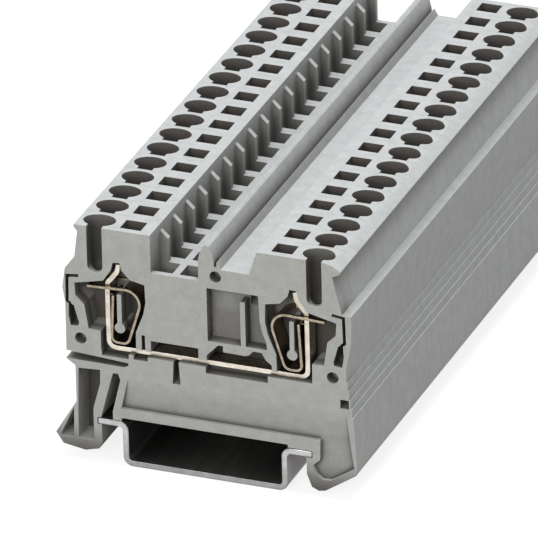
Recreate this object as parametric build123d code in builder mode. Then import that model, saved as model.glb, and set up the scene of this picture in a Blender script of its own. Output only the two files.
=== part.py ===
from build123d import *
import math
import os

# A row of spring cage terminal blocks on a 35 mm top-hat rail, in millimetres.
# X runs across the rail, Y along it, Z up. Z = 0 is the underside of the rail and Y = 0 the middle
# of its length. The open, near side of the row faces -Y.

os.makedirs("parts", exist_ok=True)

# Row
BLOCK_COUNT = 18
PITCH = 5.2
SEAM = 0.02
HOUSING_WIDTH = PITCH - SEAM
FAR_WALL = 1.0
POCKET_DEPTH = HOUSING_WIDTH - FAR_WALL

# Rail
RAIL_WIDTH = 35.0
RAIL_HEIGHT = 7.5
RAIL_THICKNESS = 1.0
RAIL_BASE_WIDTH = 27.0
RAIL_BEND_RADIUS = 1.1
RAIL_SPARE = 14.4
RAIL_LENGTH = BLOCK_COUNT * PITCH + RAIL_SPARE
RAIL_CLEARANCE = 0.1

# A block's own zero: its middle plane is a little to the right of the rail's, and heights are
# taken from the seat on top of the rail's flanges.
BLOCK_OFFSET = 0.63
SEAT_Z = RAIL_HEIGHT + RAIL_CLEARANCE
NEAR_Y = -RAIL_LENGTH / 2

# Heights above the seat
TOWER_TOP = 32.5
PLATE_TOP = 26.2
MARKER_TOP = 28.55
RIDGE_TOP = 32.4
LEDGE = 24.0
RIM = 0.5

# Wire entries and tool entries. Places across the block start at its middle plane, and each
# further one outwards is counted from the last.
TOWER_INNER = 8.73
TOOL_WALL = 1.87
TOOL_LENGTH = 3.4
TOOL_WIDTH = 2.85
TOOL_X = TOWER_INNER + TOOL_WALL + TOOL_LENGTH / 2
ENTRY_SPACING = 5.55
ENTRY_X = TOOL_X + ENTRY_SPACING
ENTRY_Y = 2.5
ENTRY_HALF_LENGTH = 2.6
ENTRY_HALF_WIDTH = 1.95
NEAR_ENTRY_SIDES = 24
ENTRY_CORNER = 0.58
ENTRY_DEPTH = 5.5
BORE_RADIUS = 1.55
ENTRY_SLOT_WIDTH = 2.5
ENTRY_SLOT_DEPTH = 7.75
ENTRY_WALL = 2.9
TOWER_OUTER = ENTRY_X + ENTRY_WALL

# Ridge beside the marker trough
RIDGE_X = 0.35
RIDGE_HALF_WIDTH = 1.3
SNAP_DROP = 2.7
GROOVE_WIDTH = 0.42
GROOVE_DEPTH = 0.9

# Bridge wells
WELL_NEAR = 0.9
WELL_LENGTH = 3.4
WELL_EDGES = [(-TOWER_INNER, -5.5), (-4.35, -1.35)]
FIN_REACH = 1.25
FIN_TOP = 31.4

# Current bar
BAR_THICKNESS = 0.8
BAR_WIDTH = 2.7
BAR_LEVEL = 12.05
BAR_BESIDE_ENTRY = 1.62
BAR_LEG_X = ENTRY_X - BAR_BESIDE_ENTRY
BAR_BEND_RADIUS = 1.2
METAL_CLEARANCE = 0.05
BAR_ROOM = 0.2

# Cage springs
STRIP_THICKNESS = 0.4
STRIP_WIDTH = 3.9
WINDOW_PLAY = 0.1
WINDOW_WIDTH = BAR_WIDTH + 2 * WINDOW_PLAY
WINDOW_INNER_X = BAR_LEG_X - 2.83

# Holes for locating pegs
PEG_HOLE_RADIUS = 0.95
PEG_HOLE_DEPTH = 2.2
SIDE_PEG = (BAR_LEG_X + 4.32, 13.15)
MIDDLE_PEG = (1.82, 27.2)

# Shallow recess of the near face above the base rim
RECESS_DEPTH = 0.6
RECESS_BOTTOM = -5.6
RECESS_BEND = 2.4
RECESS_TOP = 7.4

# Grip steps down the right wall
STEP_COUNT = 5
STEP_OUT = 0.2
STEP_DROP = 1.5
STEP_START = (TOWER_OUTER + 2.0, 12.7)

near_face = Plane(origin=(BLOCK_OFFSET, NEAR_Y, SEAT_Z), x_dir=(1, 0, 0), z_dir=(0, -1, 0))
back_face = near_face.offset(-HOUSING_WIDTH)
row_top = Plane(origin=(BLOCK_OFFSET, NEAR_Y, SEAT_Z + TOWER_TOP))


def counted_from(start, points):
    """Points whose places across the block are counted from a given start."""
    return [(start + x, height) for x, height in points]


def both_sides(points):
    """The same outline left and right of the block's middle plane."""
    return [[(side * x, height) for x, height in points] for side in (-1, 1)]


# The rail is one folded strip.
with BuildPart() as din_rail:
    with BuildSketch(Plane.XZ.offset(-NEAR_Y)):
        with BuildLine():
            half = RAIL_THICKNESS / 2
            web = RAIL_BASE_WIDTH / 2 - half
            FilletPolyline(
                (-RAIL_WIDTH / 2, RAIL_HEIGHT - half), (-web, RAIL_HEIGHT - half), (-web, half),
                (web, half), (web, RAIL_HEIGHT - half), (RAIL_WIDTH / 2, RAIL_HEIGHT - half),
                radius=RAIL_BEND_RADIUS)
        trace(line_width=RAIL_THICKNESS)
    extrude(amount=-RAIL_LENGTH)
din_rail.part.label = "din_rail"
export_step(din_rail.part, "parts/din_rail.step")

# Outline of a housing, clockwise from the lower left of its body.
flange_tip = RAIL_WIDTH / 2 + RAIL_CLEARANCE
catch_top = -RAIL_THICKNESS - 2 * RAIL_CLEARANCE
left_tip = -flange_tip - BLOCK_OFFSET
right_tip = flange_tip - BLOCK_OFFSET
left_web = -RAIL_BASE_WIDTH / 2 - RAIL_CLEARANCE - BLOCK_OFFSET
right_web = RAIL_BASE_WIDTH / 2 + RAIL_CLEARANCE - BLOCK_OFFSET
snap_height = RIDGE_TOP - SNAP_DROP
groove_edge = RIDGE_X + RIDGE_HALF_WIDTH + GROOVE_WIDTH

left_body = counted_from(-TOWER_OUTER, [
    (-2.23, 10.75), (-2.18, 18.9), (-2.58, 21.5), (-2.08, 24.8), (-0.45, 27.0),
    (0.15, TOWER_TOP - 1.1), (-0.4, TOWER_TOP - 0.5), (-0.4, TOWER_TOP)])
left_tower = [
    (-TOWER_INNER, TOWER_TOP), (-TOWER_INNER, PLATE_TOP), (RIDGE_X - RIDGE_HALF_WIDTH, PLATE_TOP)]
ridge = counted_from(RIDGE_X, [
    (-RIDGE_HALF_WIDTH, snap_height), (-0.95, RIDGE_TOP - 1.3), (-0.45, RIDGE_TOP - 0.3),
    (0, RIDGE_TOP), (0.45, RIDGE_TOP - 0.3), (0.95, RIDGE_TOP - 1.3),
    (RIDGE_HALF_WIDTH, snap_height)])
marker_groove = [
    (RIDGE_X + RIDGE_HALF_WIDTH, snap_height - GROOVE_DEPTH),
    (groove_edge, snap_height - GROOVE_DEPTH), (groove_edge, snap_height),
    (groove_edge + 0.65, MARKER_TOP), (TOWER_INNER - 1.4, MARKER_TOP),
    (TOWER_INNER - 0.13, TOWER_TOP)]
right_tower = counted_from(TOWER_OUTER, [
    (-1.35, TOWER_TOP), (0.25, TOWER_TOP - 0.4), (1.45, TOWER_TOP - 1.2),
    (1.25, TOWER_TOP - 1.7), (0.05, TOWER_TOP - 2.3), (1.5, LEDGE), (3.05, LEDGE),
    (2.92, 19.4)])
grip_steps = [(STEP_START[0], 14.9)]
for number in range(STEP_COUNT):
    step_x = STEP_START[0] + number * STEP_OUT
    step_z = STEP_START[1] - number * STEP_DROP
    grip_steps += [(step_x, step_z), (step_x + STEP_OUT, step_z)]
hook_foot = counted_from(right_tip, [
    (7.2, -1.6), (7.0, -3.1), (2.0, -6.4), (0.9, -6.6), (-0.2, -6.1), (-1.0, -4.0),
    (-1.0, catch_top), (0, catch_top)])
rail_gap = [(right_tip, 0), (right_web, 0), (right_web, RIM), (left_web, RIM), (left_web, 0)]
latch_slot = counted_from(left_web, [
    (-1.4, 0), (-1.4, 1.4), (0, 7.0), (-0.37, 8.0), (-1.17, 8.0), (-1.5, 7.0)])
latch_foot = counted_from(left_tip, [
    (0.6, 0), (0, 0), (0, catch_top), (0.7, catch_top), (0.7, -4.2), (0.2, -5.4), (-2.1, -6.0),
    (-5.7, -5.4), (-6.9, -3.6), (-3.35, 2.2), (-3.35, 8.35), (-4.9, 9.4)])
hinge_slot = [(-13.6, 9.3), (-12.83, 9.6), (-12.83, 10.1)]
body_outline = [
    *left_body, *left_tower, *ridge, *marker_groove, *right_tower, *grip_steps, *hook_foot,
    *rail_gap, *latch_slot, *latch_foot, *hinge_slot]

# Pockets that are open to the near side
channel_bottom = BAR_LEVEL - BAR_THICKNESS / 2 - METAL_CLEARANCE
channel_top = BAR_LEVEL + BAR_THICKNESS / 2 + BAR_ROOM
CHANNEL_REACH = BAR_LEG_X - 4.73
chamber = counted_from(BAR_LEG_X, [
    (5.1, 22.5), (0.37, 23.6), (-0.93, 25.5), (-1.3, 26.9), (-2.4, 27.0), (-2.7, 25.8),
    (-4.0, 24.4), (-6.4, 23.9), (-6.5, 20.9), (-6.1, 18.9), (-4.8, 15.6),
    (-4.73, channel_bottom), (1.0, channel_bottom), (1.0, 14.9), (2.97, 15.0), (3.57, 19.0),
    (4.97, 20.4)])
plain_chamber = counted_from(BAR_LEG_X, [
    (3.77, 22.8), (0.37, 23.6), (-0.93, 27.0), (-2.43, 27.0), (-6.4, 23.9), (-6.5, 20.0),
    (-4.73, channel_bottom), (1.0, channel_bottom), (1.0, 14.9), (3.77, 14.9)])
spring_gap = counted_from(BAR_LEG_X, [(4.4, 23.8), (6.27, 23.55), (6.37, 19.2), (5.77, 18.8)])
SPRING_GAP_WIDTH = 0.5
side_pocket = counted_from(BAR_LEG_X, [
    (6.1, 19.1), (5.3, 18.6), (4.5, 15.8), (4.65, 15.25), (5.9, 15.1), (6.2, 16.9)])
POST_X = BAR_LEG_X - 2.18
POST_WIDTH = 0.74
POST_BOTTOM = 15.9
POST_TOP = 21.6
KNOB_RADIUS = 0.85
BORE_BOTTOM = 22.5
TOOL_ENTRY_BOTTOM = 23.5
WELL_BOTTOM = 14.55
left_band = [
    (-9.03, channel_bottom), (-1.28, channel_bottom), (-1.28, WELL_BOTTOM), (-9.03, WELL_BOTTOM)]
band_notch = [(-10.53, channel_bottom), (-9.98, channel_bottom), (-9.98, 15.3), (-10.53, 15.3)]
right_band = [
    (0.07, channel_bottom), (0.07, 13.6), (1.97, 15.6), (2.77, 15.6), (2.77, 14.6), (6.27, 14.5),
    (6.97, 14.7), (7.67, 15.5), (9.07, 15.5), (9.67, 14.4), (10.67, 13.6), (10.67, channel_bottom)]
under_bar = [
    [(-0.13, 10.5), (9.97, 10.5), (9.97, channel_top), (-0.13, channel_top)],
    [(-17.13, 10.8), (-12.73, 10.8), (-12.73, channel_top), (-17.13, channel_top)],
    [(-11.93, 10.9), (-9.63, 10.9), (-9.63, channel_top), (-11.93, channel_top)]]
key_notch = [(-5.33, channel_top), (-4.63, channel_top), (-4.33, 7.8), (-5.63, 7.8)]
foot_pockets = [
    counted_from(left_tip, [
        (-2.85, 8.0), (0.7, 8.2), (0.65, 5.9), (-0.6, 1.4), (-0.6, -4.1), (-3.17, -4.1),
        (-3.07, 1.6)]),
    counted_from(left_tip, [(-3.8, 1.1), (-3.9, -4.1), (-6.0, -4.1), (-5.9, -3.4)])]
corner_notch = counted_from(TOWER_OUTER, [(0.95, 8.15), (2.35, 8.15), (2.35, 9.65), (0.95, 9.65)])
window_corner = [(6.67, 22.4), (8.67, 22.4), (8.67, 25.0), (6.67, 25.0)]
small_pockets = [
    left_band, band_notch, right_band, key_notch, corner_notch, window_corner, *under_bar,
    *foot_pockets, *both_sides(side_pocket)]

# Shallower window between the ridge and the right chamber, with one rib left standing
WINDOW_DEPTH = 2.2
window = [
    (0.32, 25.1), (8.72, 25.1), (8.87, 20.9), (9.27, 18.9), (9.87, 17.3), (9.97, 16.1),
    (0.32, 16.1)]
window_rib = [(5.72, 16.1), (6.52, 16.1), (6.52, 23.6), (5.72, 23.6)]

recess_edge = [(left_web, 2.1)] + counted_from(right_tip, [
    (1.3, 2.1), (1.2, -1.3), (0, -2.4), (0.6, -3.8), (1.6, -4.6), (3.0, -4.5), (6.8, -2.0),
    (6.33, 1.4), (5.63, RECESS_TOP)]) + [(-13.0, RECESS_TOP)]

# The recess gets shallower upwards, so it is a wedge trimmed to the recess's edge.
with BuildPart() as face_recess:
    with BuildSketch(Plane(origin=(-RAIL_WIDTH, NEAR_Y, SEAT_Z), x_dir=(0, 1, 0), z_dir=(1, 0, 0))):
        with BuildLine():
            Polyline((0, RECESS_BOTTOM), (RECESS_DEPTH, RECESS_BOTTOM), (RECESS_DEPTH, RECESS_BEND),
                     (0, RECESS_TOP), close=True)
        make_face()
    extrude(amount=2 * RAIL_WIDTH)
    with BuildSketch(near_face):
        with BuildLine():
            Polyline(*recess_edge, close=True)
        make_face()
    extrude(amount=-RECESS_DEPTH, mode=Mode.INTERSECT)


def lay_outline(points, mode=Mode.ADD):
    """One closed outline in the open sketch."""
    with BuildLine() as outline:
        Polyline(*points, close=True)
    make_face(outline.edges(), mode=mode)


def entry_ring(side, depth, half_length, half_width, near_block):
    """One cross-section of a wire entry: an oval drawn with few or many straight sides."""
    with BuildSketch(row_top.offset(-depth)) as ring:
        with Locations((side * ENTRY_X, ENTRY_Y)):
            if near_block:
                turns = [number * math.tau / NEAR_ENTRY_SIDES for number in range(NEAR_ENTRY_SIDES)]
                Polygon(*[(half_length * math.cos(turn), half_width * math.sin(turn))
                          for turn in turns], align=None)
            else:
                Rectangle(2 * half_length, 2 * half_width)
                chamfer(ring.vertices(), length=ENTRY_CORNER * half_width)
    return ring.sketch


def moulded_housing(near_block):
    """One moulding. The near block has every pocket and round hole that shows on the open side.

    The blocks behind it have the same outline and the same openings above, with plain chambers
    and eight-sided wire entries, because their near faces are covered.
    """
    with BuildPart() as housing:
        # Moulded body, both feet and both towers
        with BuildSketch(near_face):
            lay_outline(body_outline)
        extrude(amount=-HOUSING_WIDTH)

        # Fins between the bridge wells, on the left tower's inner face
        with BuildSketch(back_face):
            lay_outline([(-TOWER_INNER, PLATE_TOP), (FIN_REACH - TOWER_INNER, PLATE_TOP),
                         (FIN_REACH - TOWER_INNER, FIN_TOP - FIN_REACH), (-TOWER_INNER, FIN_TOP)])
        extrude(amount=HOUSING_WIDTH - WELL_NEAR - WELL_LENGTH)

        # Chambers for the springs and the channel for the bar, down to the far wall
        with BuildSketch(near_face):
            for outline in both_sides(chamber if near_block else plain_chamber):
                lay_outline(outline)
            with Locations((0, (channel_bottom + channel_top) / 2)):
                Rectangle(2 * CHANNEL_REACH, channel_top - channel_bottom)
            if near_block:
                for side in (-1, 1):
                    with Locations((side * POST_X, (POST_BOTTOM + POST_TOP) / 2)):
                        Rectangle(POST_WIDTH, POST_TOP - POST_BOTTOM, mode=Mode.SUBTRACT)
                    with Locations((side * POST_X, POST_BOTTOM)):
                        Circle(KNOB_RADIUS, mode=Mode.SUBTRACT)
                for path in both_sides(spring_gap):
                    with BuildLine() as gap_line:
                        Polyline(*path)
                    trace(gap_line.edges(), line_width=SPRING_GAP_WIDTH)
                for outline in small_pockets:
                    lay_outline(outline)
        extrude(amount=-POCKET_DEPTH, mode=Mode.SUBTRACT)

        # Tool entries and bridge wells, from above
        with BuildSketch(row_top):
            with Locations((-TOOL_X, ENTRY_Y), (TOOL_X, ENTRY_Y)):
                Rectangle(TOOL_LENGTH, TOOL_WIDTH)
        extrude(amount=TOOL_ENTRY_BOTTOM - TOWER_TOP, mode=Mode.SUBTRACT)
        with BuildSketch(row_top):
            for left, right in WELL_EDGES:
                with Locations(((left + right) / 2, WELL_NEAR + WELL_LENGTH / 2)):
                    Rectangle(right - left, WELL_LENGTH)
        extrude(amount=WELL_BOTTOM - TOWER_TOP, mode=Mode.SUBTRACT)

        # Oval wire entries that narrow to round bores, down to the springs
        for side in (-1, 1):
            mouth = entry_ring(side, 0, ENTRY_HALF_LENGTH, ENTRY_HALF_WIDTH, near_block)
            throat = entry_ring(side, ENTRY_DEPTH, BORE_RADIUS, BORE_RADIUS, near_block)
            loft([mouth, throat], ruled=True, mode=Mode.SUBTRACT)
            extrude(throat, amount=ENTRY_DEPTH - TOWER_TOP + BORE_BOTTOM, mode=Mode.SUBTRACT)

        # Slots where the wire entries break out of the near face
        slot_end = TOWER_TOP - ENTRY_SLOT_DEPTH + ENTRY_SLOT_WIDTH / 2
        with BuildSketch(near_face):
            for side in (-1, 1):
                with Locations((side * ENTRY_X, (slot_end + TOWER_TOP) / 2)):
                    Rectangle(ENTRY_SLOT_WIDTH, TOWER_TOP - slot_end)
                if near_block:
                    with Locations((side * ENTRY_X, slot_end)):
                        Circle(ENTRY_SLOT_WIDTH / 2)
        extrude(amount=-ENTRY_Y, mode=Mode.SUBTRACT)

        if near_block:
            # Window between the ridge and the right chamber, with one rib left standing
            with BuildSketch(near_face):
                lay_outline(window)
                lay_outline(window_rib, mode=Mode.SUBTRACT)
            extrude(amount=-WINDOW_DEPTH, mode=Mode.SUBTRACT)

            # Shallow recess and the holes for an end cover's locating pegs
            add(face_recess.part, mode=Mode.SUBTRACT)
            with BuildSketch(near_face):
                with Locations((-SIDE_PEG[0], SIDE_PEG[1]), SIDE_PEG, MIDDLE_PEG):
                    Circle(PEG_HOLE_RADIUS)
            extrude(amount=-PEG_HOLE_DEPTH, mode=Mode.SUBTRACT)
    return housing.part


def bent_strip(plane, path, radii, thickness, width):
    """A strip bent along a path. The strips inside the covered blocks have sharp bends."""
    with BuildPart() as strip:
        with BuildSketch(plane):
            with BuildLine():
                if radii:
                    FilletPolyline(*path, radius=radii)
                else:
                    Polyline(*path)
            trace(line_width=thickness)
        extrude(amount=-width)
    return strip.part


def current_bar(near_block):
    """U-shaped current bar, lying in the channel, with both ends leaning inwards."""
    tip = [(-1.85, 26.3), (-1.63, 25.0)] if near_block else [(-1.8, 26.3)]
    half_path = counted_from(BAR_LEG_X, [*tip, (0, 22.9), (0, BAR_LEVEL)])
    path = [(-x, height) for x, height in half_path] + half_path[::-1]
    plane = near_face.offset(-(POCKET_DEPTH - BAR_WIDTH) / 2)
    return bent_strip(plane, path, BAR_BEND_RADIUS if near_block else None, BAR_THICKNESS, BAR_WIDTH)


def cage_spring(side, near_block):
    """One bent strip whose upper leg has a window for the bar's end and the wire."""
    if near_block:
        bends = [(-6.3, 22.6), (-3.4, 13.25), (-0.73, 13.35)]
        radii = [2.3, 1.2, 0.9]
    else:
        bends = [(-5.4, 22.5), (-3.6, 13.5), (-0.93, 13.5)]
        radii = None
    half_path = counted_from(BAR_LEG_X, [(3.1, 22.2), *bends, (-1.13, 21.2)])
    path = [(side * x, height) for x, height in half_path]
    plane = near_face.offset(-(POCKET_DEPTH - STRIP_WIDTH) / 2)
    window_outer_x = BAR_LEG_X + BAR_THICKNESS / 2 + WINDOW_PLAY
    with BuildPart() as spring:
        add(bent_strip(plane, path, radii, STRIP_THICKNESS, STRIP_WIDTH))
        with BuildSketch(row_top.offset(half_path[0][1] - 1 - TOWER_TOP)):
            with Locations((side * (window_outer_x + WINDOW_INNER_X) / 2, POCKET_DEPTH / 2)):
                Rectangle(window_outer_x - WINDOW_INNER_X, WINDOW_WIDTH)
        extrude(amount=2, mode=Mode.SUBTRACT)
    return spring.part


# The near block shows its inside, so its springs are nodes of their own. The covered blocks are
# the same block with plainer insides, and each further pair of springs shares one node.
near_springs = [cage_spring(side, True) for side in (-1, 1)]
for spring, name in zip(near_springs, ("cage_spring_left", "cage_spring_right")):
    spring.label = name
    export_step(spring, f"parts/{name}.step")
near_pieces = {"housing": moulded_housing(True), "current_bar": current_bar(True)}
covered_pieces = {"housing": moulded_housing(False), "current_bar": current_bar(False)}
covered_springs = [cage_spring(side, False) for side in (-1, 1)]

for number in range(BLOCK_COUNT):
    place = Location((0, number * PITCH, 0))
    pieces = covered_pieces if number else near_pieces
    for name, piece in pieces.items():
        placed = piece.moved(place)
        placed.label = f"{name}_{number + 1:02d}"
        export_step(placed, f"parts/{placed.label}.step")
    if number:
        pair = Compound(children=[spring.moved(place) for spring in covered_springs])
        pair.label = f"cage_springs_{number + 1:02d}"
        export_step(pair, f"parts/{pair.label}.step")
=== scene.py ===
# %% [markdown]
# Spring cage terminal blocks on a rail.
#
# The object is a row of slim grey terminal blocks, clipped side by side on a bright steel rail.
# The nearest block shows its open side: a tin-plated bar bent into a U, and two bent springs that
# press the wires against its ends. The solids come from the imported model, already in place and at
# their real size, so this lesson is about finish: soft moulded edges, materials, light and camera.
#
# The first cell loads the solids. Each one is an object whose vertices are already where they
# belong, so nothing is moved.

# %% Load the solids
import math

import bpy
from mathutils import Matrix, Vector


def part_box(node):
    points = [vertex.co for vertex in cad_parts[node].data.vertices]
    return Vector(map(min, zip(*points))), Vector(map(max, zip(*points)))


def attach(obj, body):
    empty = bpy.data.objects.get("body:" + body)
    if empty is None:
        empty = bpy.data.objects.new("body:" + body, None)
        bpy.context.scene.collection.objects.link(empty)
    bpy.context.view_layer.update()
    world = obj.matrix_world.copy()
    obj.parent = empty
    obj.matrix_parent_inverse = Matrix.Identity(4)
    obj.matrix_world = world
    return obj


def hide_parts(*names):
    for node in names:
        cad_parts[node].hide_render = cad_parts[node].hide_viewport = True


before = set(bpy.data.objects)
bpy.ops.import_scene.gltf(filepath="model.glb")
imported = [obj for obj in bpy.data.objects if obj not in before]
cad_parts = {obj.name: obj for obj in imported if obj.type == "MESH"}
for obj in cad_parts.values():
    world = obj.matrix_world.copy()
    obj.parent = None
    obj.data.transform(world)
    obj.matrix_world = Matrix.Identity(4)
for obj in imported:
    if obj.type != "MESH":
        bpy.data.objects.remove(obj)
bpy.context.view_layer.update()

MM = 0.001
BLOCK_COUNT = sum(name.startswith("housing_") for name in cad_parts)
first_low, first_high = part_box("housing_01")
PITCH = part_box("housing_02")[0].y - first_low.y
NEAR_Y = first_low.y
bpy.context.scene.view_settings.view_transform = "Standard"
print("blocks", BLOCK_COUNT, "pitch", round(PITCH / MM, 3), "mm")

# %% [markdown]
# The camera stands where the photographer stood. A catalogue picture like this one is taken from
# far away with a long lens, so parallel edges stay nearly parallel. The direction is given by
# three angles: how far round the row the camera stands, how high above it, and how much it is
# tilted. The camera looks a little above the open side, because the row runs up and away.

# %% Camera
CAMERA_AROUND = math.radians(22.240)
CAMERA_ABOVE = math.radians(27.714)
CAMERA_ROLL = math.radians(-1.583)
CAMERA_DISTANCE = 2.0056
FOCAL_PIXELS = 13152.4
PHOTO_PIXELS = 538
SENSOR_MM = 36
AIM_RIGHT = 63.28 / FOCAL_PIXELS
AIM_UP = 209.4 / FOCAL_PIXELS


def camera_axes():
    """Right, up and backward directions of the camera, with its roll."""
    back = Vector((
        math.sin(CAMERA_AROUND) * math.cos(CAMERA_ABOVE),
        -math.cos(CAMERA_AROUND) * math.cos(CAMERA_ABOVE),
        math.sin(CAMERA_ABOVE)))
    level_right = Vector((math.cos(CAMERA_AROUND), math.sin(CAMERA_AROUND), 0))
    level_up = back.cross(level_right)
    right = level_right * math.cos(CAMERA_ROLL) + level_up * math.sin(CAMERA_ROLL)
    up = level_up * math.cos(CAMERA_ROLL) - level_right * math.sin(CAMERA_ROLL)
    return right, up, back


def add_camera():
    right, up, back = camera_axes()
    aim = (right * AIM_RIGHT + up * AIM_UP - back).normalized()
    side = aim.cross(up).normalized()
    upright = side.cross(aim)
    data = bpy.data.cameras.new("photo_camera")
    data.sensor_width = SENSOR_MM
    data.lens = FOCAL_PIXELS * SENSOR_MM / PHOTO_PIXELS
    data.clip_start = 0.1
    data.clip_end = 20
    camera = bpy.data.objects.new("photo_camera", data)
    bpy.context.scene.collection.objects.link(camera)
    turn = Matrix((side, upright, -aim)).transposed().to_4x4()
    place = Vector((0, NEAR_Y, 0)) + back * CAMERA_DISTANCE
    camera.matrix_world = Matrix.Translation(place) @ turn
    bpy.context.scene.camera = camera
    return camera


camera = add_camera()
print("lens", round(camera.data.lens), "mm at", CAMERA_DISTANCE, "m")

# %% [markdown]
# The floor, the sky and every material are trees of nodes. A few short helpers keep them readable:
# one adds a node with its settings, one joins two values, and one maps a range of values onto
# another.

# %% Helpers for nodes
def add_node(tree, kind, **settings):
    node = tree.nodes.new(kind)
    for name, value in settings.items():
        setattr(node, name, value)
    return node


def combine(tree, operation, first, second):
    node = add_node(tree, "ShaderNodeMath", operation=operation)
    tree.links.new(first, node.inputs[0])
    tree.links.new(second, node.inputs[1])
    return node.outputs[0]


def multiply(tree, first, second):
    return combine(tree, "MULTIPLY", first, second)


def scaled_map(tree, value, low, high, to_low, to_high):
    """Turns low to high into to_low to to_high, and holds the ends beyond that range."""
    node = add_node(tree, "ShaderNodeMapRange")
    tree.links.new(value, node.inputs["Value"])
    for name, number in (("From Min", low), ("From Max", high), ("To Min", to_low),
                         ("To Max", to_high)):
        node.inputs[name].default_value = number
    return node.outputs["Result"]


def grey(level):
    return (level, level, level, 1)


print("node helpers ready")

# %% [markdown]
# The light is a plain studio: a large soft lamp overhead, a weaker one in front, and an even sky.
# Up-facing surfaces come out lightest, as in the photo, the open side a step darker, and the long
# side darkest, because no lamp faces it. The background is white because the floor and the sky
# show white to the camera and to reflections, not because the lamps are strong. The floor still
# takes the row's soft shadow: what it gives off is added to what it reflects, so a shaded spot
# stays a little darker.

# %% Floor, sky and lamps
FLOOR_SIZE = 12.0
FLOOR_REFLECTS = 0.24
FLOOR_GLOW = 0.84
SKY_STRENGTH = 0.50
SKY_COLOUR = (0.97, 0.985, 1.0, 1)
LAMP_TARGET = Vector((0, 0, 20 * MM))


def seen_directly(tree):
    """1 for rays from the camera and for reflected or transmitted rays, 0 for scattered light."""
    path = tree.nodes.new("ShaderNodeLightPath")
    total = path.outputs["Is Camera Ray"]
    for name in ("Is Glossy Ray", "Is Transmission Ray"):
        total = combine(tree, "MAXIMUM", total, path.outputs[name])
    return total


def make_floor():
    bpy.ops.object.select_all(action="DESELECT")
    bpy.ops.mesh.primitive_plane_add(size=FLOOR_SIZE, location=(0, 0, 0))
    floor = bpy.context.object
    floor.name = "studio_floor"
    material = bpy.data.materials.new("studio_floor")
    material.use_nodes = True
    tree = material.node_tree
    tree.nodes.clear()
    paint = tree.nodes.new("ShaderNodeBsdfDiffuse")
    paint.inputs["Color"].default_value = grey(FLOOR_REFLECTS)
    glow = tree.nodes.new("ShaderNodeEmission")
    strength = add_node(tree, "ShaderNodeMath", operation="MULTIPLY")
    strength.inputs[1].default_value = FLOOR_GLOW
    both = tree.nodes.new("ShaderNodeAddShader")
    surface = tree.nodes.new("ShaderNodeOutputMaterial")
    tree.links.new(seen_directly(tree), strength.inputs[0])
    tree.links.new(strength.outputs[0], glow.inputs["Strength"])
    tree.links.new(paint.outputs[0], both.inputs[0])
    tree.links.new(glow.outputs[0], both.inputs[1])
    tree.links.new(both.outputs[0], surface.inputs["Surface"])
    floor.data.materials.append(material)


def make_sky():
    world = bpy.data.worlds.new("studio_sky")
    world.use_nodes = True
    tree = world.node_tree
    tree.nodes.clear()
    light = tree.nodes.new("ShaderNodeBackground")
    light.inputs["Color"].default_value = SKY_COLOUR
    light.inputs["Strength"].default_value = SKY_STRENGTH
    white = tree.nodes.new("ShaderNodeBackground")
    white.inputs["Color"].default_value = grey(1)
    white.inputs["Strength"].default_value = 1.0
    choice = tree.nodes.new("ShaderNodeMixShader")
    sky = tree.nodes.new("ShaderNodeOutputWorld")
    tree.links.new(seen_directly(tree), choice.inputs["Fac"])
    tree.links.new(light.outputs[0], choice.inputs[1])
    tree.links.new(white.outputs[0], choice.inputs[2])
    tree.links.new(choice.outputs[0], sky.inputs["Surface"])
    bpy.context.scene.world = world


def add_soft_lamp(name, place, size, watts, colour):
    data = bpy.data.lights.new(name, "AREA")
    data.shape = "SQUARE"
    data.size = size
    data.energy = watts
    data.color = colour
    lamp = bpy.data.objects.new(name, data)
    bpy.context.scene.collection.objects.link(lamp)
    lamp.location = place
    lamp.rotation_mode = "QUATERNION"
    lamp.rotation_quaternion = (LAMP_TARGET - lamp.location).to_track_quat("-Z", "Y")


make_floor()
make_sky()
add_soft_lamp("overhead_softbox", place=Vector((0.04, 0.12, 0.90)), size=0.56, watts=7.9,
              colour=(0.86, 0.895, 1.0))
add_soft_lamp("front_softbox", place=Vector((-0.06, -0.99, 0.45)), size=0.50, watts=5.6,
              colour=(1.0, 0.985, 0.95))

# %% [markdown]
# Three effects are node groups with named sockets, placed in a material with its own values. The
# edges and crevices serve every material here, the streaks serve the three metals, and the grain
# is the plastic's.
#
# A moulded surface is never perfectly even: the first group gives a fine grain as a bump, fine
# specks, and a slow drift of tone. The second finds edges and crevices. It compares the true
# normal with one that is rounded over edges, and it measures how enclosed a point is. With these
# masks the materials paint a highlight on edges and paint shade, darker and browner, into narrow
# pockets. The third gives the long streaks of strip that was rolled, stretched along one direction.

# %% Helpers for node groups
def start_group(name, inputs, outputs):
    """An empty group with float, vector or colour sockets. Inputs carry their default values."""
    group = bpy.data.node_groups.new(name, "ShaderNodeTree")
    for socket, kind, value in inputs:
        made = group.interface.new_socket(name=socket, in_out="INPUT", socket_type=kind)
        made.default_value = value
    for socket, kind in outputs:
        group.interface.new_socket(name=socket, in_out="OUTPUT", socket_type=kind)
    return group, group.nodes.new("NodeGroupInput"), group.nodes.new("NodeGroupOutput")


def place_group(tree, group, **values):
    node = tree.nodes.new("ShaderNodeGroup")
    node.node_tree = group
    for name, value in values.items():
        node.inputs[name.replace("_", " ")].default_value = value
    return node


FLOAT = "NodeSocketFloat"
VECTOR = "NodeSocketVector"
print("group helpers ready")

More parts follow.
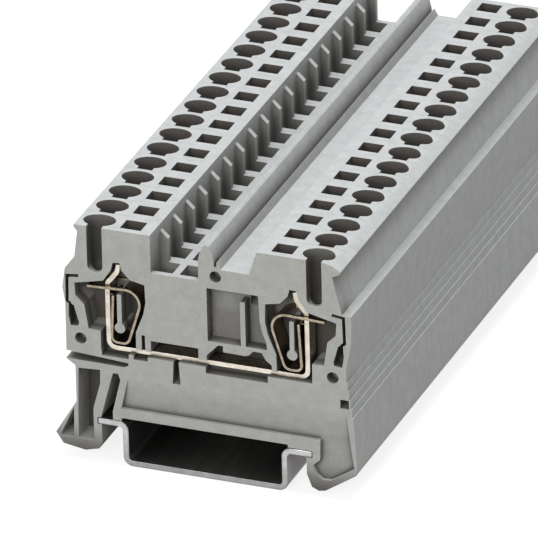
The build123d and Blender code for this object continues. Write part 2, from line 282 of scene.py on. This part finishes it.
# %% Group: surface grain
def make_grain_group():
    """Fine grain as a bump, and two factors round 1: a slow drift of tone, and fine specks."""
    group, given, result = start_group(
        "surface_grain",
        [("Grain size", FLOAT, 0.3 * MM), ("Grain depth", FLOAT, 0.01 * MM),
         ("Patch size", FLOAT, 6 * MM), ("Patch spread", FLOAT, 0.04),
         ("Speck spread", FLOAT, 0.03)],
        [("Tone", FLOAT), ("Speck", FLOAT), ("Normal", VECTOR)])
    link = group.links.new
    place = add_node(group, "ShaderNodeTexCoord")

    def noise(size_socket, detail):
        inverse = add_node(group, "ShaderNodeMath", operation="DIVIDE")
        inverse.inputs[0].default_value = 1.0
        link(size_socket, inverse.inputs[1])
        texture = add_node(group, "ShaderNodeTexNoise", noise_dimensions="3D")
        texture.inputs["Detail"].default_value = detail
        link(place.outputs["Object"], texture.inputs["Vector"])
        link(inverse.outputs[0], texture.inputs["Scale"])
        return texture.outputs["Fac"]

    def around_one(value, spread):
        centred = add_node(group, "ShaderNodeMath", operation="SUBTRACT")
        centred.inputs[1].default_value = 0.5
        link(value, centred.inputs[0])
        wide = add_node(group, "ShaderNodeMath", operation="MULTIPLY_ADD")
        link(centred.outputs[0], wide.inputs[0])
        link(spread, wide.inputs[1])
        wide.inputs[2].default_value = 1.0
        return wide.outputs[0]

    fine = noise(given.outputs["Grain size"], 2.0)
    slow = noise(given.outputs["Patch size"], 3.0)
    bump = add_node(group, "ShaderNodeBump")
    bump.inputs["Strength"].default_value = 1.0
    link(given.outputs["Grain depth"], bump.inputs["Distance"])
    link(fine, bump.inputs["Height"])
    link(around_one(slow, given.outputs["Patch spread"]), result.inputs["Tone"])
    link(around_one(fine, given.outputs["Speck spread"]), result.inputs["Speck"])
    link(bump.outputs["Normal"], result.inputs["Normal"])
    return group


surface_grain = make_grain_group()
print("group", surface_grain.name)

# %% Group: edges and crevices
FLAT_AGREEMENT = 0.98
EDGE_AGREEMENT = 0.80


def make_edge_group():
    """Edge is 1 on outer and inner edges, Open is 1 in the open and 0 deep in a pocket.

    On an edge the true and the rounded normal differ, so their product falls below 1.
    """
    group, given, result = start_group(
        "edges_and_crevices",
        [("Edge width", FLOAT, 0.2 * MM), ("Reach", FLOAT, 4 * MM)],
        [("Edge", FLOAT), ("Open", FLOAT)])
    link = group.links.new
    rounded = add_node(group, "ShaderNodeBevel", samples=4)
    link(given.outputs["Edge width"], rounded.inputs["Radius"])
    true = add_node(group, "ShaderNodeNewGeometry")
    agreement = add_node(group, "ShaderNodeVectorMath", operation="DOT_PRODUCT")
    link(rounded.outputs["Normal"], agreement.inputs[0])
    link(true.outputs["Normal"], agreement.inputs[1])
    edge = scaled_map(group, agreement.outputs["Value"], FLAT_AGREEMENT, EDGE_AGREEMENT, 0, 1)
    sheltered = add_node(group, "ShaderNodeAmbientOcclusion", samples=6)
    link(given.outputs["Reach"], sheltered.inputs["Distance"])
    link(edge, result.inputs["Edge"])
    link(sheltered.outputs["AO"], result.inputs["Open"])
    return group


edges_and_crevices = make_edge_group()
print("group", edges_and_crevices.name)

# %% Group: rolled streaks
def make_streak_group():
    """Streaks as a mask and a bump. Across is how many there are in a metre along X, Y and Z."""
    group, given, result = start_group(
        "rolled_streaks",
        [("Across", VECTOR, (1.0, 1.0, 1.0)), ("Streak depth", FLOAT, 0.004 * MM)],
        [("Streak", FLOAT), ("Normal", VECTOR)])
    link = group.links.new
    place = add_node(group, "ShaderNodeTexCoord")
    squeeze = add_node(group, "ShaderNodeVectorMath", operation="MULTIPLY")
    link(place.outputs["Object"], squeeze.inputs[0])
    link(given.outputs["Across"], squeeze.inputs[1])
    texture = add_node(group, "ShaderNodeTexNoise", noise_dimensions="3D")
    texture.inputs["Scale"].default_value = 1.0
    texture.inputs["Detail"].default_value = 4.0
    texture.inputs["Roughness"].default_value = 0.6
    link(squeeze.outputs["Vector"], texture.inputs["Vector"])
    bump = add_node(group, "ShaderNodeBump")
    bump.inputs["Strength"].default_value = 1.0
    link(given.outputs["Streak depth"], bump.inputs["Distance"])
    link(texture.outputs["Fac"], bump.inputs["Height"])
    link(texture.outputs["Fac"], result.inputs["Streak"])
    link(bump.outputs["Normal"], result.inputs["Normal"])
    return group


rolled_streaks = make_streak_group()
print("group", rolled_streaks.name)

# %% [markdown]
# The housings are light grey polyamide, very slightly green, with a fine matt skin. The colour is
# one grey that drifts a little. A painted highlight makes it paler along the edges, and painted
# shade makes it darker and browner in deep pockets, standing in for the shade there and for the warm
# light that the metal parts throw. The skin has a roughness of about 0.5 and a low specular level,
# and it is duller still in the pockets, so no bright spot shows there.
#
# How much painted shade a pocket gets depends on where it is. Narrow holes and the wire entries
# on top get the darkest. On the open side the painted shade on a pocket's floor grows with its
# depth, and its walls stay lighter. The plain outer skin and the wide surfaces that face up take
# none of it.

# %% Helpers for materials
def mix_colour(tree, factor, first, second, blend="MIX"):
    """Mixes two colours, each given as a value or as a socket."""
    node = add_node(tree, "ShaderNodeMix", data_type="RGBA", blend_type=blend)
    sockets = [s for s in node.inputs if s.enabled]
    for socket, value in zip(sockets, (factor, first, second)):
        if isinstance(value, bpy.types.NodeSocket):
            tree.links.new(value, socket)
        else:
            socket.default_value = value
    return [s for s in node.outputs if s.enabled][0]


def start_material(name, **shader_values):
    material = bpy.data.materials.new(name)
    material.use_nodes = True
    tree = material.node_tree
    shader = tree.nodes["Principled BSDF"]
    for socket, value in shader_values.items():
        shader.inputs[socket.replace("_", " ")].default_value = value
    return material, tree, shader


print("material helpers ready")

# %% Where painted shade darkens a pocket
# Heights and distances in mm, each as the start and the end of a soft change.
FEET_END = (13, 17)
TROUGHS_START = (28, 30)
TOWERS_START = (30, 33)
ENTRIES_INNER = (9.4, 10.2)
ENTRIES_OUTER = (21, 22)
# Depths behind the open side, in mm.
FACE_END = (0.10, 0.25)
POCKET_FLOORS = (0.25, 3.5)
PEG_HOLES_END = (1.8, 2.6)
SKIN_START = (2, 6)
FIRST_BLOCK_END = (4.9, 5.1)
# Parts of the surface normal: a floor faces the open side, a top faces up.
FACES_OPEN_SIDE = (-0.6, -0.9)
FACES_UP = (0.4, 0.9)
# How far each place goes to the painted shade colour.
FOOT_FLOORS = 0.96
BODY_WALLS = 0.56
WIRE_ENTRIES = 0.94
HOLES_FURTHER_BACK = 0.3
SHALLOWEST_FLOOR = 0.07
DEEPEST_FLOOR = 0.95

ROW_MIDDLE_X = (first_low.x + first_high.x) / 2


def soft_change(tree, value, places, before, after, origin=0.0):
    """Goes from before to after between two places, in mm from origin."""
    start, end = (origin + place * MM for place in places)
    return scaled_map(tree, value, start, end, before, after)


def axes_of(tree, vector):
    split = add_node(tree, "ShaderNodeSeparateXYZ")
    tree.links.new(vector, split.inputs[0])
    return split.outputs


def distance_from_middle(tree, x):
    offset = add_node(tree, "ShaderNodeMath", operation="SUBTRACT")
    tree.links.new(x, offset.inputs[0])
    offset.inputs[1].default_value = ROW_MIDDLE_X
    distance = add_node(tree, "ShaderNodeMath", operation="ABSOLUTE")
    tree.links.new(offset.outputs[0], distance.inputs[0])
    return distance.outputs[0]


def painted_crevice_shade(tree, place, normal, enclosed):
    """Painted shade in enclosed places: floors only in the feet, strongest in the wire entries."""
    above_feet = soft_change(tree, place["Z"], FEET_END, 0, 1)
    foot_floor = scaled_map(tree, normal["Y"], *FACES_OPEN_SIDE, 0, FOOT_FLOORS)
    body = mix_colour(tree, above_feet, foot_floor, grey(BODY_WALLS))
    sideways = distance_from_middle(tree, place["X"])
    in_entries = multiply(tree, soft_change(tree, place["Z"], TOWERS_START, 0, 1),
                          soft_change(tree, sideways, ENTRIES_INNER, 0, 1))
    strength = mix_colour(tree, in_entries, body, grey(WIRE_ENTRIES))
    outer_skin = multiply(tree, soft_change(tree, sideways, ENTRIES_OUTER, 0, 1),
                          soft_change(tree, place["Y"], SKIN_START, 0, 1, NEAR_Y))
    strength = mix_colour(tree, outer_skin, strength, grey(0))
    not_a_top = scaled_map(tree, normal["Z"], *FACES_UP, 1, 0)
    return multiply(tree, enclosed, multiply(tree, strength, not_a_top))


def painted_hole_shade(tree, place, narrow):
    """Painted shade in narrow holes above the feet, most in the peg holes of the open side."""
    above_feet = soft_change(tree, place["Z"], FEET_END, 0, 1)
    near = soft_change(tree, place["Y"], PEG_HOLES_END, 1, HOLES_FURTHER_BACK, NEAR_Y)
    return multiply(tree, narrow, multiply(tree, above_feet, near))


def painted_floor_shade(tree, place, normal):
    """Painted shade on the open block's pocket floors, which grows with their depth."""
    faces_open_side = multiply(tree, scaled_map(tree, normal["Y"], *FACES_OPEN_SIDE, 0, 1),
                               soft_change(tree, place["Z"], TROUGHS_START, 1, 0))
    depth = soft_change(tree, place["Y"], POCKET_FLOORS, SHALLOWEST_FLOOR, DEEPEST_FLOOR, NEAR_Y)
    behind_face = soft_change(tree, place["Y"], FACE_END, 0, 1, NEAR_Y)
    first_block = soft_change(tree, place["Y"], FIRST_BLOCK_END, 1, 0, NEAR_Y)
    return multiply(tree, multiply(tree, faces_open_side, depth),
                    multiply(tree, behind_face, first_block))


def painted_shade_by_place(tree, enclosed, narrow):
    """Painted shade by place: enclosed grows slowly with depth, narrow is high only in holes as deep
    as they are wide.
    """
    coordinates = add_node(tree, "ShaderNodeTexCoord")
    place = axes_of(tree, coordinates.outputs["Object"])
    geometry = add_node(tree, "ShaderNodeNewGeometry")
    normal = axes_of(tree, geometry.outputs["Normal"])
    in_holes = combine(tree, "MAXIMUM", painted_crevice_shade(tree, place, normal, enclosed),
                       painted_hole_shade(tree, place, narrow))
    return combine(tree, "MAXIMUM", in_holes, painted_floor_shade(tree, place, normal))


print("row middle", round(ROW_MIDDLE_X / MM, 3), "mm")

# %% Material: moulded polyamide
POLYAMIDE = (0.418, 0.422, 0.396, 1)
# Paler grey painted on edges as a highlight.
POLYAMIDE_PAINTED_HIGHLIGHT = (0.68, 0.69, 0.67, 1)
# Dark brown painted into pockets and holes as shade.
POLYAMIDE_PAINTED_SHADE = (0.068, 0.058, 0.052, 1)


def make_polyamide():
    material, tree, shader = start_material("polyamide_light_grey", Metallic=0.0,
                                            Specular_IOR_Level=0.28)
    grain = place_group(tree, surface_grain, Grain_size=0.42 * MM, Grain_depth=0.012 * MM,
                        Patch_size=2 * MM, Patch_spread=0.34, Speck_spread=0.22)
    shape = place_group(tree, edges_and_crevices, Edge_width=0.11 * MM, Reach=6.5 * MM)
    drift = multiply(tree, grain.outputs["Tone"], grain.outputs["Speck"])
    plain = mix_colour(tree, 1.0, POLYAMIDE, drift, "MULTIPLY")
    # Painted highlight: edges are mixed towards the paler grey.
    painted_edge_part = scaled_map(tree, shape.outputs["Edge"], 0, 1, 0, 0.68)
    with_painted_edges = mix_colour(tree, painted_edge_part, plain, POLYAMIDE_PAINTED_HIGHLIGHT)
    # Painted shade: enclosed places and narrow holes are mixed towards the dark brown.
    enclosed = scaled_map(tree, shape.outputs["Open"], 0.72, 0.96, 1.0, 0.0)
    narrow = scaled_map(tree, shape.outputs["Open"], 0.34, 0.68, 0.93, 0.0)
    painted_shade_part = painted_shade_by_place(tree, enclosed, narrow)
    colour = mix_colour(tree, painted_shade_part, with_painted_edges, POLYAMIDE_PAINTED_SHADE)
    tree.links.new(colour, shader.inputs["Base Color"])
    skin = scaled_map(tree, grain.outputs["Speck"], 0.9, 1.1, 0.44, 0.60)
    dull = scaled_map(tree, shape.outputs["Open"], 0.5, 0.95, 0.95, 0.0)
    tree.links.new(combine(tree, "MAXIMUM", skin, dull), shader.inputs["Roughness"])
    tree.links.new(grain.outputs["Normal"], shader.inputs["Normal"])
    return material


polyamide = make_polyamide()
print("material", polyamide.name)

# %% [markdown]
# The metals differ in colour, gloss and marks. The current bar is copper under bright tin: warm
# white and smooth. The springs are stainless strip, darker and browner from heat treatment. The
# rail is zinc-plated steel with a soft bloom. All three use the streak group: the streaks of the
# rail run along it, and those of the bar and the springs follow their narrow strip, so they are
# short along the rail. The edges of the bar and springs get a painted highlight, while the rail's
# cut end gets a dark border of painted shade. Pockets in all three get painted shade.

# %% Materials: tin, spring steel and zinc
def make_metal(name, colour, dark, edge, deep, across, roughness, streak_depth, edge_width,
               reach):
    """A rolled metal: streaks of two tones, edges in a painted colour of their own (a highlight on
    bar and springs, shade on the rail), painted shade in pockets.
    """
    material, tree, shader = start_material(name, Metallic=1.0)
    streaks = place_group(tree, rolled_streaks, Across=across, Streak_depth=streak_depth)
    shape = place_group(tree, edges_and_crevices, Edge_width=edge_width, Reach=reach)
    streak_part = scaled_map(tree, streaks.outputs["Streak"], 0.35, 0.65, 0.0, 1.0)
    plain = mix_colour(tree, streak_part, dark, colour)
    # Painted edge colour: a highlight on the bar and springs, a dark border of shade on the rail.
    painted_edge_part = scaled_map(tree, shape.outputs["Edge"], 0, 1, 0, 0.7)
    with_painted_edges = mix_colour(tree, painted_edge_part, plain, edge)
    # Painted shade: enclosed places are mixed towards the deep colour.
    painted_shade_part = scaled_map(tree, shape.outputs["Open"], 0.2, 0.75, 0.9, 0.0)
    shaded = mix_colour(tree, painted_shade_part, with_painted_edges, deep)
    tree.links.new(shaded, shader.inputs["Base Color"])
    tree.links.new(scaled_map(tree, streaks.outputs["Streak"], 0.3, 0.7, *roughness),
                   shader.inputs["Roughness"])
    tree.links.new(streaks.outputs["Normal"], shader.inputs["Normal"])
    return material


# The edge colours of the bar and springs are painted highlights, the rail's is painted shade.
tin = make_metal(
    "bright_tin_on_copper", colour=(0.78, 0.72, 0.62, 1), dark=(0.56, 0.50, 0.41, 1),
    edge=(0.95, 0.90, 0.80, 1), deep=(0.070, 0.058, 0.045, 1), across=(700, 7000, 700),
    roughness=(0.24, 0.36), streak_depth=0.002 * MM, edge_width=0.08 * MM, reach=2 * MM)
spring_steel = make_metal(
    "spring_strip", colour=(0.42, 0.36, 0.265, 1), dark=(0.25, 0.21, 0.15, 1),
    edge=(0.64, 0.57, 0.44, 1), deep=(0.040, 0.032, 0.024, 1), across=(1000, 7000, 1000),
    roughness=(0.24, 0.34), streak_depth=0.002 * MM, edge_width=0.08 * MM, reach=2 * MM)
zinc = make_metal(
    "zinc_plated_steel", colour=(0.56, 0.555, 0.55, 1), dark=(0.44, 0.44, 0.435, 1),
    edge=(0.07, 0.07, 0.068, 1), deep=(0.050, 0.042, 0.038, 1), across=(900, 60, 900),
    roughness=(0.30, 0.38), streak_depth=0.001 * MM, edge_width=0.48 * MM, reach=10 * MM)
print("metals", tin.name, spring_steel.name, zinc.name)

# %% [markdown]
# A moulded housing has no knife edges. Every edge is rounded by the mould's cutter and catches a
# thin line of light, which is what makes a row of blocks read as separate pieces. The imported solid
# has sharp edges and a mesh of loose triangles. So a copy is merged, its long thin triangles are
# put in better order, or joined into whole faces where the shape is simple, and a bevel modifier
# rounds the edges. Weighted normals then keep the flat faces flat right up to the rounding, and the
# faces that are square to the rail, which the camera sees best, are set exactly flat. This is done
# once, on the open block, and the result is copied along the rail, one copy for each block.

# %% Helper: a copy of a solid with rounded edges
MERGE_DISTANCE = 0.005 * MM
FLAT_ANGLE = math.radians(0.5)
ANY_SHAPE = math.radians(180)
ROUNDED_ANGLE = math.radians(28)
ROUNDING_STEPS = 2
SMOOTH_ANGLE = math.radians(32)
SQUARE_TO_RAIL = 0.99999


def select_only(obj):
    bpy.ops.object.select_all(action="DESELECT")
    obj.select_set(True)
    bpy.context.view_layer.objects.active = obj


def flatten_cut_faces(mesh):
    """Gives each face that is square to the rail its own normal at all its corners."""
    normals = [corner.vector.copy() for corner in mesh.corner_normals]
    for face in mesh.polygons:
        if abs(face.normal.y) > SQUARE_TO_RAIL:
            for corner in face.loop_indices:
                normals[corner] = face.normal.copy()
    mesh.normals_split_custom_set(normals)


def rounded_copy(node_name, piece_name, width, join_flat=False):
    """The solid's mesh, merged and with its edges rounded, as a piece of its own."""
    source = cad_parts[node_name]
    piece = bpy.data.objects.new(piece_name, source.data.copy())
    bpy.context.scene.collection.objects.link(piece)
    select_only(piece)
    bpy.ops.object.mode_set(mode="EDIT")
    bpy.ops.mesh.select_all(action="SELECT")
    bpy.ops.mesh.remove_doubles(threshold=MERGE_DISTANCE)
    bpy.ops.mesh.dissolve_degenerate(threshold=MERGE_DISTANCE)
    if join_flat:
        bpy.ops.mesh.dissolve_limited(angle_limit=FLAT_ANGLE)
    else:
        bpy.ops.mesh.beautify_fill(angle_limit=FLAT_ANGLE)
        bpy.ops.mesh.tris_convert_to_quads(face_threshold=FLAT_ANGLE, shape_threshold=ANY_SHAPE)
    bpy.ops.object.mode_set(mode="OBJECT")
    bevel = piece.modifiers.new("rounded_edges", "BEVEL")
    bevel.width = width
    bevel.segments = ROUNDING_STEPS
    bevel.limit_method = "ANGLE"
    bevel.angle_limit = ROUNDED_ANGLE
    bevel.use_clamp_overlap = False
    bevel.loop_slide = False
    bevel.miter_outer = "MITER_ARC"
    bpy.ops.object.modifier_apply(modifier="rounded_edges")
    bpy.ops.object.shade_smooth_by_angle(angle=SMOOTH_ANGLE)
    flat = piece.modifiers.new("flat_faces_stay_flat", "WEIGHTED_NORMAL")
    flat.keep_sharp = True
    flat.weight = 100
    bpy.ops.object.modifier_apply(modifier="flat_faces_stay_flat")
    flatten_cut_faces(piece.data)
    piece.data.materials.clear()
    return piece


def finish_piece(piece, body, slot_name, material, *replaced):
    piece.data.materials.append(material)
    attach(piece, body)
    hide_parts(*replaced)


print("rounding helper ready")

# %% The moulded housings
HOUSING_EDGE = 0.026 * MM

open_housing = rounded_copy("housing_01", "moulded_housing_01", HOUSING_EDGE)
housings = [open_housing]
for number in range(1, BLOCK_COUNT):
    housing = open_housing.copy()
    housing.data = open_housing.data.copy()
    housing.name = f"moulded_housing_{number + 1:02d}"
    bpy.context.scene.collection.objects.link(housing)
    housing.data.transform(Matrix.Translation((0, number * PITCH, 0)))
    housings.append(housing)
for number, housing in enumerate(housings, start=1):
    finish_piece(housing, "terminal_row", "housing", polyamide, f"housing_{number:02d}")
print("housings", len(housings), "faces each", len(open_housing.data.polygons))

# %% [markdown]
# The bar and the springs of the open block are seen edge-on, so the cut edge of the strip is what
# shows. Stamping leaves it slightly rounded. The rail is folded from strip and gets the same
# treatment with a larger radius. Its shape is simple, so its flat faces are joined whole.

# %% The bar, the springs and the rail
BAR_EDGE = 0.10 * MM
SPRING_EDGE = 0.05 * MM
RAIL_EDGE = 0.16 * MM

near_bar = rounded_copy("current_bar_01", "tinned_bar_01", BAR_EDGE)
finish_piece(near_bar, "terminal_row", "current_bar", tin, "current_bar_01")
for side in ("left", "right"):
    strip = rounded_copy(f"cage_spring_{side}", f"spring_strip_{side}", SPRING_EDGE)
    finish_piece(strip, "terminal_row", "spring", spring_steel, f"cage_spring_{side}")
rail = rounded_copy("din_rail", "top_hat_rail", RAIL_EDGE, join_flat=True)
finish_piece(rail, "rail", "rail", zinc, "din_rail")
print("rounded metal parts", near_bar.name, strip.name, rail.name)

# %% [markdown]
# The metal parts of the covered blocks are only glimpsed through the wire entries, so their solids
# stay and only take the material.

# %% The covered metal parts
covered = 0
for name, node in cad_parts.items():
    if name.startswith("current_bar_") and name != "current_bar_01":
        material = tin
    elif name.startswith("cage_springs_"):
        material = spring_steel
    else:
        continue
    node.data.materials.clear()
    node.data.materials.append(material)
    covered += 1
print("covered metal parts", covered)
